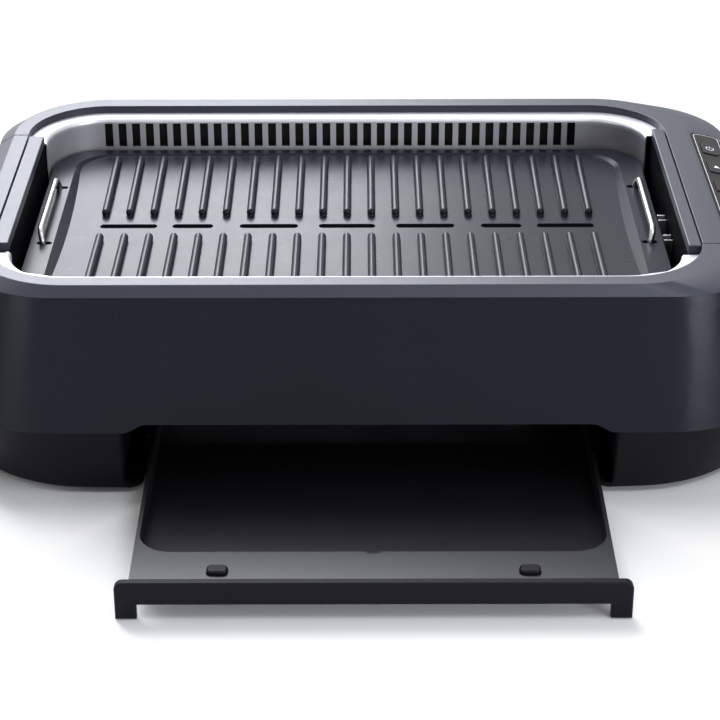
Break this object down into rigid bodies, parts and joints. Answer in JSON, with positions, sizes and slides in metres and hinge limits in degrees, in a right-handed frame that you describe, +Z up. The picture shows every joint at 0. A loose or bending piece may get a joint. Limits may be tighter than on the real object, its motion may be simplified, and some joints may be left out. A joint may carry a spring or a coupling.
{
  "type": "smokeless electric grill",
  "caption": "Tabletop electric grill: ribbed lift-off plate in a silver well over a smoke fan, with wire bails, side keys and a pull-out drip tray.",
  "frame": {"origin": "middle of the footprint, tray out as in the picture, on the floor", "axes": "+X to the user's right, -Y to the front where the tray comes out, +Z up"},
  "size_m": [0.53, 0.477, 0.134],
  "materials": {
    "housing": "satin gunmetal",
    "black_shell": "fine matt black",
    "rim": "satin metallic grey",
    "liner": "brushed",
    "plate": "non-stick metallic coat",
    "element": "oxidised",
    "steel": "plain",
    "bright_wire": "bright",
    "dark_plastic": "moulded",
    "duct_sheet": "mill",
    "tray": "semi-gloss black",
    "panel": "dark gloss",
    "keys": "dark gloss",
    "board": "green laminate",
    "feet": "soft"
  },
  "bodies": {
    "grill_base": {"upper_housing": "housing", "base_shell": "black_shell", "front_rim": "rim", "rear_rim": "rim", "left_handle_bar": "rim", "left_inner_bar": "rim", "right_inner_bar": "rim", "left_side_wall": "black_shell", "right_side_wall": "black_shell", "liner": "liner", "plate_rests": "liner", "contact_forks": "steel", "fan_screws": "steel", "base_screws": "steel", "fan_motor": "steel", "inlet_pins": "bright_wire", "terminal_socket": "dark_plastic", "left_runner": "dark_plastic", "right_runner": "dark_plastic", "fan_scroll": "dark_plastic", "power_inlet": "dark_plastic", "thermal_cutout": "dark_plastic", "smoke_duct": "duct_sheet", "control_panel": "panel", "control_board": "board", "power_board": "board", "rubber_feet": "feet"},
    "tray": {"drip_tray": "tray", "tray_front": "tray"},
    "plate": {"grill_plate": "plate", "heating_element": "element", "terminal_pins": "bright_wire", "terminal_bracket": "steel", "element_clips": "steel", "clip_screws": "steel"},
    "left_bail": {"left_bail": "bright_wire"},
    "right_bail": {"right_bail": "bright_wire"},
    "fan_wheel": {"fan_wheel": "dark_plastic"},
    "power_key": {"key_power": "keys"},
    "up_key": {"key_up": "keys"},
    "down_key": {"key_down": "keys"},
    "fan_key": {"key_fan": "keys"}
  },
  "joints": [
    {"name": "tray_slide", "type": "slide", "parent": "grill_base", "child": "tray", "axis": [0, -1, 0], "range_m": [-0.125, 0.08]},
    {"name": "plate_lift", "type": "slide", "parent": "grill_base", "child": "plate", "axis": [0, 0, 1], "range_m": [0, 0.12]},
    {"name": "left_bail_hinge", "type": "hinge", "parent": "plate", "child": "left_bail", "pos_m": [-0.2012, 0.0715, 0.1], "axis": [0, 1, 0], "range_deg": [-12, 24]},
    {"name": "right_bail_hinge", "type": "hinge", "parent": "plate", "child": "right_bail", "pos_m": [0.1848, 0.0715, 0.1], "axis": [0, 1, 0], "range_deg": [-24, 12]},
    {"name": "fan_spin", "type": "hinge", "parent": "grill_base", "child": "fan_wheel", "pos_m": [-0.0082, 0.1905, 0.036], "axis": [0, 0, 1], "continuous": true},
    {"name": "press_power", "type": "slide", "parent": "grill_base", "child": "power_key", "axis": [-0.2169, 0, -0.9762], "range_m": [0, 0.0008], "stiffness_N_per_m": 300, "springref_m": -0.002},
    {"name": "press_up", "type": "slide", "parent": "grill_base", "child": "up_key", "axis": [-0.2169, 0, -0.9762], "range_m": [0, 0.0008], "stiffness_N_per_m": 300, "springref_m": -0.002},
    {"name": "press_down", "type": "slide", "parent": "grill_base", "child": "down_key", "axis": [-0.2169, 0, -0.9762], "range_m": [0, 0.0008], "stiffness_N_per_m": 300, "springref_m": -0.002},
    {"name": "press_fan", "type": "slide", "parent": "grill_base", "child": "fan_key", "axis": [-0.2169, 0, -0.9762], "range_m": [0, 0.0008], "stiffness_N_per_m": 300, "springref_m": -0.002}
  ]
}
